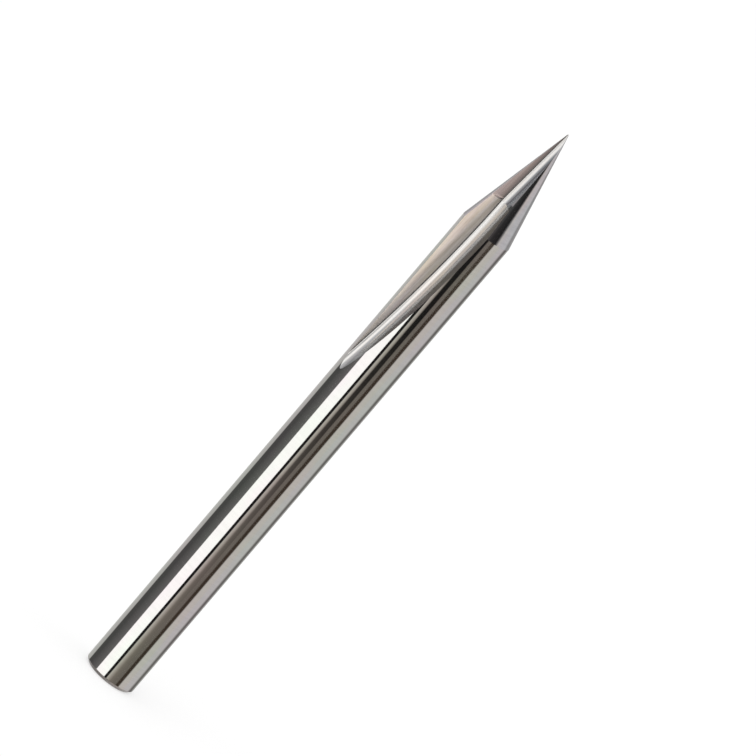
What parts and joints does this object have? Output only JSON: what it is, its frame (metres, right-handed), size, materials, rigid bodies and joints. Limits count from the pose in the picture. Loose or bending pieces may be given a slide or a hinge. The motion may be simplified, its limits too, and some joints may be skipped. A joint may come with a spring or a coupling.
{
  "type": "v groove router bit",
  "caption": "Solid carbide V groove router bit with straight flutes, a slim conical point and a plain round shank.",
  "frame": {"origin": "centre of the flat end of the shank, which the bit stands on", "axes": "+Z along the bit's axis from the shank end to the point; the cutting edges lie in the XZ plane, and the bit turns anticlockwise seen from the point"},
  "size_m": [0.004, 0.004, 0.05],
  "materials": {
    "ground_carbide": "ground and polished"
  },
  "bodies": {
    "root": {"v_groove_bit": "ground_carbide"}
  },
  "joints": []
}
